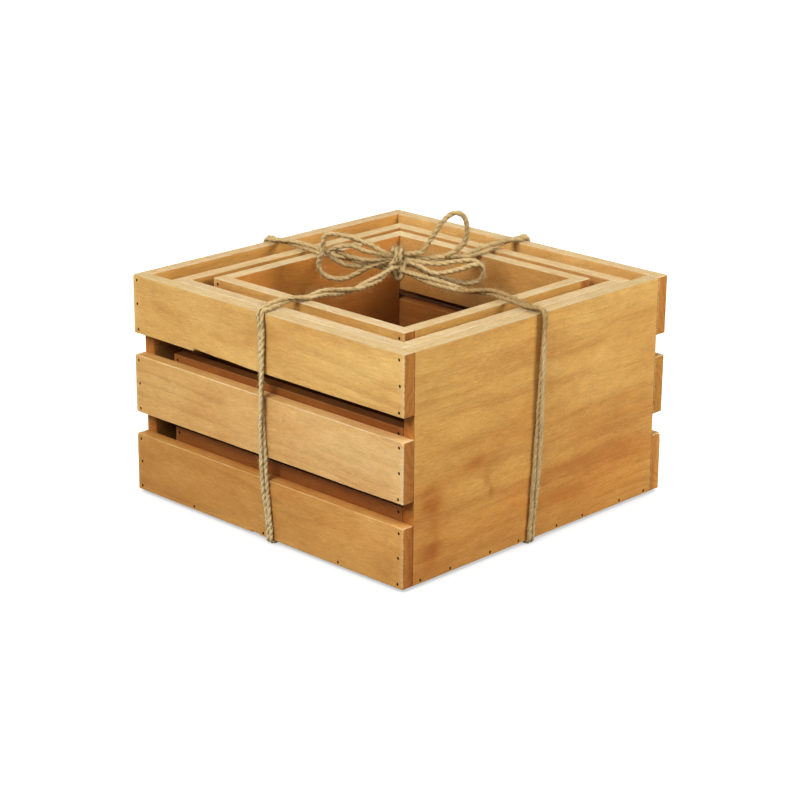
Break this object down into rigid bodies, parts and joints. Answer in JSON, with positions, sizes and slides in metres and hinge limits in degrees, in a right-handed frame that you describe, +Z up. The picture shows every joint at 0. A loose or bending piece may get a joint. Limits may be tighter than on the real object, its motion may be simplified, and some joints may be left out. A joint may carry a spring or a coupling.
{
  "type": "nested slatted wooden crates",
  "caption": "Square slatted wooden crates nested one inside the next with level rims, bound crosswise with doubled jute twine and a bow.",
  "frame": {"origin": "middle of the bundle in plan, on the plane it stands on, which is the flattened underside of the twine runs", "axes": "+X along the slats towards the solid end the inner crates are pushed against, +Y across the slats, +Z up"},
  "size_m": [0.3075, 0.3106, 0.2377],
  "materials": {
    "large_slat_wood": "honey stained pine, sanded, light worn edges",
    "medium_slat_wood": "honey stained pine, sanded, light worn edges",
    "small_slat_wood": "honey stained pine, sanded, light worn edges",
    "end_panel_wood": "honey stained pine, sanded, reddish streaks",
    "floor_wood": "honey stained pine, rough sawn",
    "brad_steel": "dark, set below the surface",
    "jute_twine": "two-ply jute, fuzzy, matt"
  },
  "bodies": {
    "large_crate": {"large_left_end": "end_panel_wood", "large_right_end": "end_panel_wood", "large_front_slat_bottom": "large_slat_wood", "large_front_slat_middle": "large_slat_wood", "large_front_slat_top": "large_slat_wood", "large_back_slat_bottom": "large_slat_wood", "large_back_slat_middle": "large_slat_wood", "large_back_slat_top": "large_slat_wood", "large_floor_board_1": "floor_wood", "large_floor_board_2": "floor_wood", "large_floor_board_3": "floor_wood", "large_floor_board_4": "floor_wood", "large_brads": "brad_steel", "twine_under_x": "jute_twine", "twine_under_y": "jute_twine"},
    "medium_crate": {"medium_left_end": "end_panel_wood", "medium_right_end": "end_panel_wood", "medium_front_slat_bottom": "medium_slat_wood", "medium_front_slat_middle": "medium_slat_wood", "medium_front_slat_top": "medium_slat_wood", "medium_back_slat_bottom": "medium_slat_wood", "medium_back_slat_middle": "medium_slat_wood", "medium_back_slat_top": "medium_slat_wood", "medium_floor_board_1": "floor_wood", "medium_floor_board_2": "floor_wood", "medium_floor_board_3": "floor_wood", "medium_floor_board_4": "floor_wood", "medium_brads": "brad_steel"},
    "small_crate": {"small_left_end": "end_panel_wood", "small_right_end": "end_panel_wood", "small_front_slat_bottom": "small_slat_wood", "small_front_slat_middle": "small_slat_wood", "small_front_slat_top": "small_slat_wood", "small_back_slat_bottom": "small_slat_wood", "small_back_slat_middle": "small_slat_wood", "small_back_slat_top": "small_slat_wood", "small_floor_board_1": "floor_wood", "small_floor_board_2": "floor_wood", "small_floor_board_3": "floor_wood", "small_brads": "brad_steel"},
    "twine_tie": {"twine_leg_front": "jute_twine", "twine_leg_back": "jute_twine", "twine_leg_left": "jute_twine", "twine_leg_right": "jute_twine", "twine_knot": "jute_twine", "bow_loops_left": "jute_twine", "bow_loop_right": "jute_twine", "bow_loop_upright": "jute_twine", "twine_tails": "jute_twine"}
  },
  "joints": [
    {"name": "medium_lift", "type": "slide", "parent": "large_crate", "child": "medium_crate", "axis": [0, 0, 1], "range_m": [0, 0.18]},
    {"name": "small_lift", "type": "slide", "parent": "medium_crate", "child": "small_crate", "axis": [0, 0, 1], "range_m": [0, 0.17]},
    {"name": "twine_lift", "type": "slide", "parent": "small_crate", "child": "twine_tie", "axis": [0, 0, 1], "range_m": [0, 0.19]}
  ]
}
